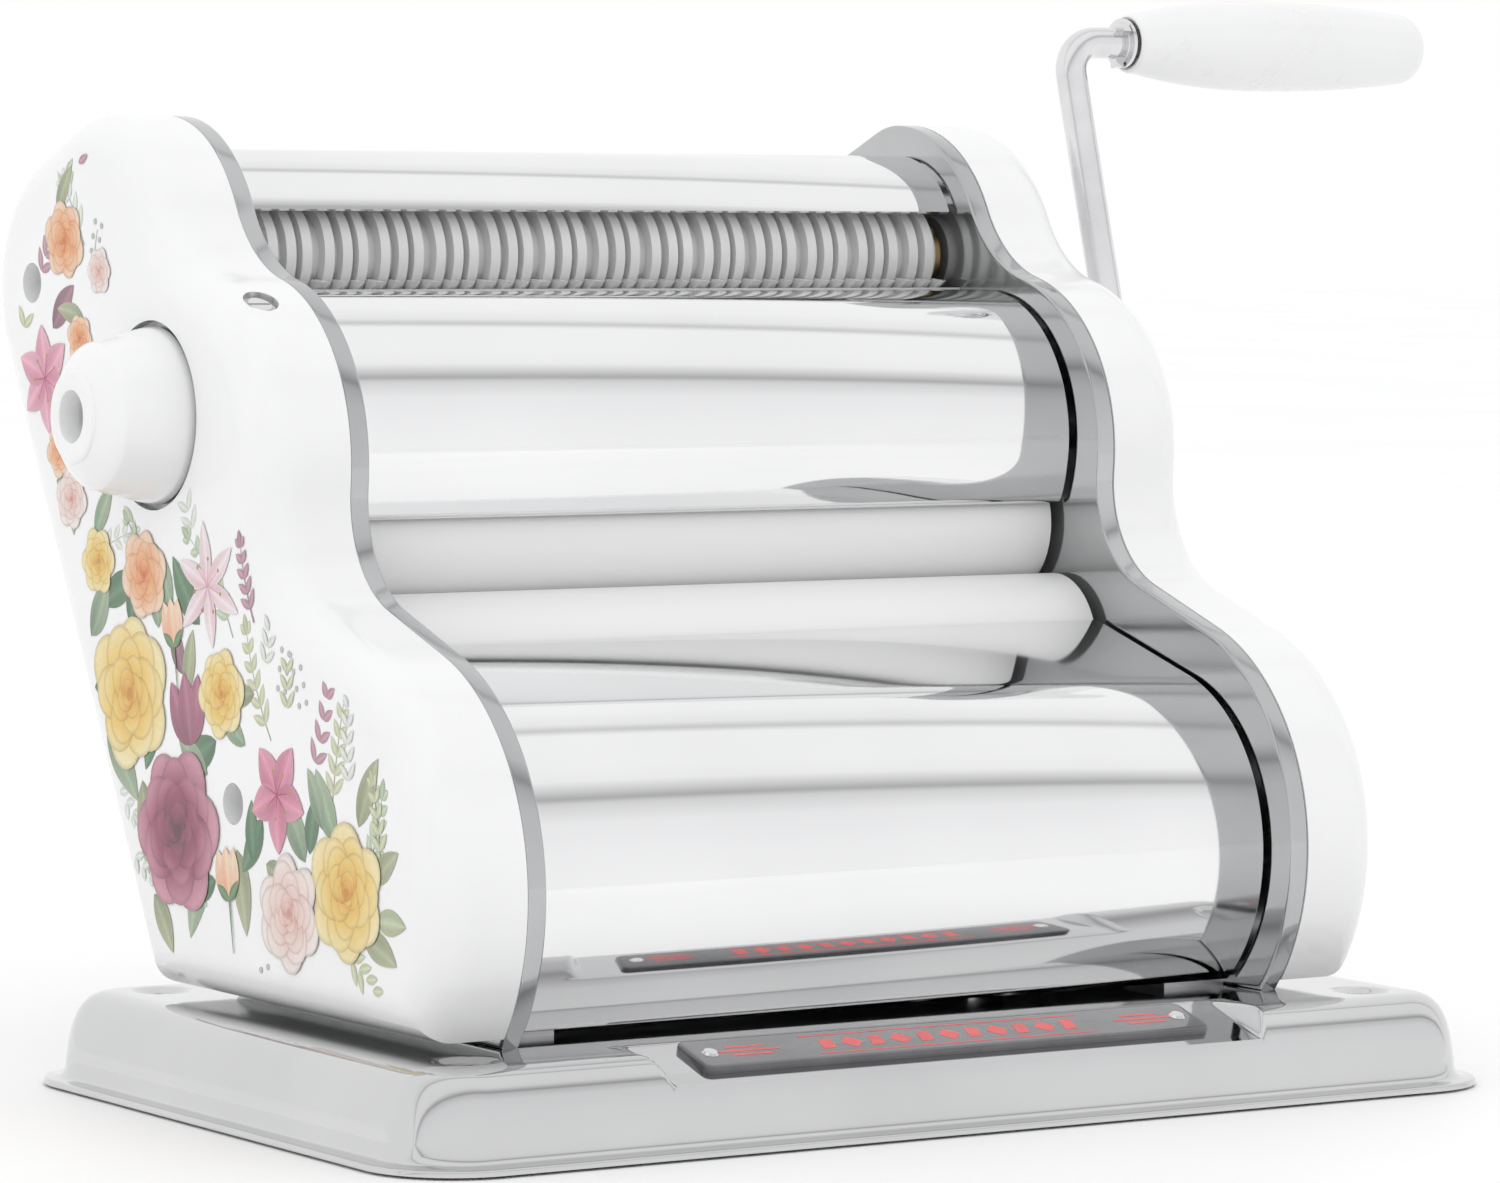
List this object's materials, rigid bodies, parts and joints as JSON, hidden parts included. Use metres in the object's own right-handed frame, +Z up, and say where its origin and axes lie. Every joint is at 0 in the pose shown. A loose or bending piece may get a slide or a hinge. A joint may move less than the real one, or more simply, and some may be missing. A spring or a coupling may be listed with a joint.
{
  "type": "pasta roller machine",
  "caption": "Hand-cranked pasta machine: smooth rollers with a gap set by a side knob, ring cutters above, geared crank, curved metal body on a stamped tray.",
  "frame": {"origin": "middle of the four table screw holes, in the plane of the feet's undersides", "axes": "+X along the rollers towards the crank, -Y towards the front, +Z up"},
  "size_m": [0.412, 0.2415, 0.2602],
  "materials": {
    "white_gloss": "glossy white",
    "chrome": "polished chrome",
    "bright_steel": "bright plated steel",
    "badge_lens": "dark glossy lens",
    "black_rubber": "matte",
    "plain_steel": "plain steel",
    "block_nylon": "natural nylon",
    "bush_bronze": "sintered bronze",
    "roller_white": "smooth satin white",
    "cutter_white": "satin light grey-white",
    "shaft_steel": "ground steel",
    "gear_steel": "machined steel"
  },
  "bodies": {
    "frame": {"base_tray": "chrome", "base_feet": "black_rubber", "badge": "badge_lens", "badge_rivets": "bright_steel", "left_side_plate": "chrome", "right_side_plate": "chrome", "plate_brackets": "plain_steel", "bracket_screws": "plain_steel", "tie_rods": "plain_steel", "tie_rod_nuts": "plain_steel", "left_cover": "white_gloss", "right_cover": "white_gloss", "cover_screws": "bright_steel", "oil_plug": "bright_steel", "top_cover": "chrome", "mid_cover": "chrome", "lower_cover": "chrome", "rear_mid_cover": "chrome", "rear_lower_cover": "chrome", "upper_comb": "cutter_white", "lower_comb": "cutter_white", "roller_scraper": "plain_steel", "camshaft_bushes": "bush_bronze", "roller_bushes": "bush_bronze", "cutter_bushes": "bush_bronze", "index_plate": "plain_steel", "idler_pin": "shaft_steel"},
    "drive": {"drive_hub": "shaft_steel", "cutter_drive_gear": "gear_steel", "roller_drive_gear": "gear_steel", "crank_arm": "bright_steel", "grip_washer": "bright_steel", "grip_clip": "bright_steel"},
    "handle": {"grip": "white_gloss"},
    "idler": {"idler_gear": "gear_steel"},
    "lower_roller": {"lower_roller": "roller_white", "lower_roller_shaft": "shaft_steel", "lower_nip_gear": "gear_steel", "lower_drive_gear": "gear_steel"},
    "camshaft": {"camshaft": "shaft_steel", "left_cam": "gear_steel", "right_cam": "gear_steel", "knob_screw": "bright_steel", "knob_spring": "plain_steel"},
    "knob": {"knob": "white_gloss", "index_pin": "plain_steel"},
    "carriage": {"left_bearing_block": "block_nylon", "right_bearing_block": "block_nylon"},
    "upper_roller": {"upper_roller": "roller_white", "upper_roller_shaft": "shaft_steel", "upper_nip_gear": "gear_steel"},
    "upper_cutter": {"upper_cutter": "cutter_white", "upper_cutter_shaft": "shaft_steel", "upper_cutter_gear": "gear_steel"},
    "lower_cutter": {"lower_cutter": "cutter_white", "lower_cutter_shaft": "shaft_steel", "lower_cutter_gear": "gear_steel"}
  },
  "joints": [
    {"name": "crank_turn", "type": "hinge", "parent": "frame", "child": "drive", "pos_m": [0, 0.06191, 0.15704], "axis": [1, 0, 0], "continuous": true},
    {"name": "grip_spin", "type": "hinge", "parent": "drive", "child": "handle", "pos_m": [0, 0.08794, 0.2484], "axis": [1, 0, 0], "continuous": true},
    {"name": "idler_turn", "type": "hinge", "parent": "frame", "child": "idler", "pos_m": [0, 0.06855, 0.11557], "axis": [1, 0, 0], "continuous": true},
    {"name": "lower_roller_turn", "type": "hinge", "parent": "frame", "child": "lower_roller", "pos_m": [0, 0.0235, 0.099], "axis": [1, 0, 0], "continuous": true},
    {"name": "knob_turn", "type": "hinge", "parent": "frame", "child": "camshaft", "pos_m": [0, 0.06191, 0.15704], "axis": [1, 0, 0], "range_deg": [0, 280.3]},
    {"name": "knob_pull", "type": "slide", "parent": "camshaft", "child": "knob", "axis": [-1, 0, 0], "range_m": [0, 0.0025], "stiffness_N_per_m": 1500, "springref_m": -0.002, "deforming": ["knob_spring"]},
    {"name": "gap_slide", "type": "slide", "parent": "frame", "child": "carriage", "axis": [0, 0.5519, 0.8339], "range_m": [0, 0.003]},
    {"name": "upper_roller_turn", "type": "hinge", "parent": "carriage", "child": "upper_roller", "pos_m": [0, 0.04298, 0.12844], "axis": [1, 0, 0], "continuous": true},
    {"name": "upper_cutter_turn", "type": "hinge", "parent": "frame", "child": "upper_cutter", "pos_m": [0, 0.08653, 0.19381], "axis": [1, 0, 0], "continuous": true},
    {"name": "lower_cutter_turn", "type": "hinge", "parent": "frame", "child": "lower_cutter", "pos_m": [0, 0.08236, 0.17017], "axis": [1, 0, 0], "continuous": true}
  ],
  "couplings": [
    {"joint": "idler_turn", "follows": "crank_turn", "ratio": -0.55556},
    {"joint": "lower_roller_turn", "follows": "crank_turn", "ratio": 0.71429},
    {"joint": "upper_roller_turn", "follows": "crank_turn", "ratio": -0.71429},
    {"joint": "upper_cutter_turn", "follows": "crank_turn", "ratio": -2.6875},
    {"joint": "lower_cutter_turn", "follows": "crank_turn", "ratio": 2.6875},
    {"joint": "knob_turn", "follows": "gap_slide", "rad_per_m": 1629}
  ]
}
